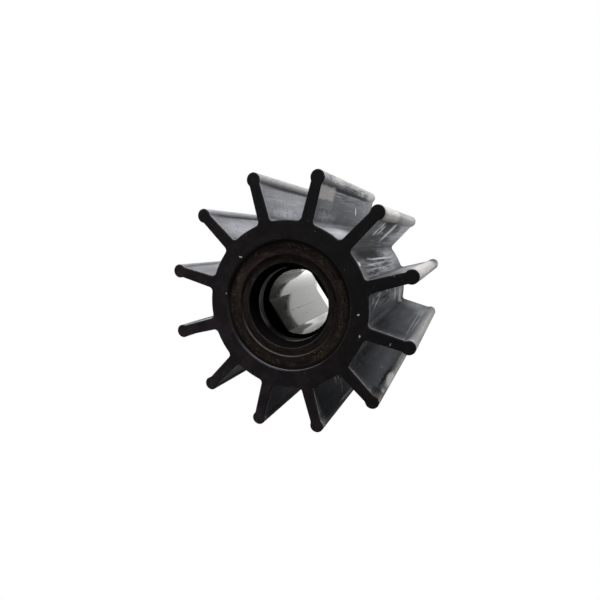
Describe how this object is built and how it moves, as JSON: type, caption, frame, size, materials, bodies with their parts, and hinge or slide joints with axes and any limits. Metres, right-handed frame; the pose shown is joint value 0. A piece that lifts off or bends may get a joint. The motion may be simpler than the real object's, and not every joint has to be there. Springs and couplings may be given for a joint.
{
  "type": "rubber pump impeller",
  "caption": "Flexible rubber impeller with straight beaded vanes round a hub, moulded on a metal insert whose bore has two flats for the pump shaft.",
  "frame": {"origin": "centre of the end face that it stands on", "axes": "+Z along the shaft axis, out of the upper end; the two flats of the bore face along X"},
  "size_m": [0.0934, 0.0934, 0.084],
  "materials": {
    "rubber": "satin moulded black rubber with faint talc marks",
    "insert_metal": "turned, bright in the bore and tarnished brown on its end rings"
  },
  "bodies": {
    "root": {"rubber_body": "rubber", "drive_insert": "insert_metal"}
  },
  "joints": []
}
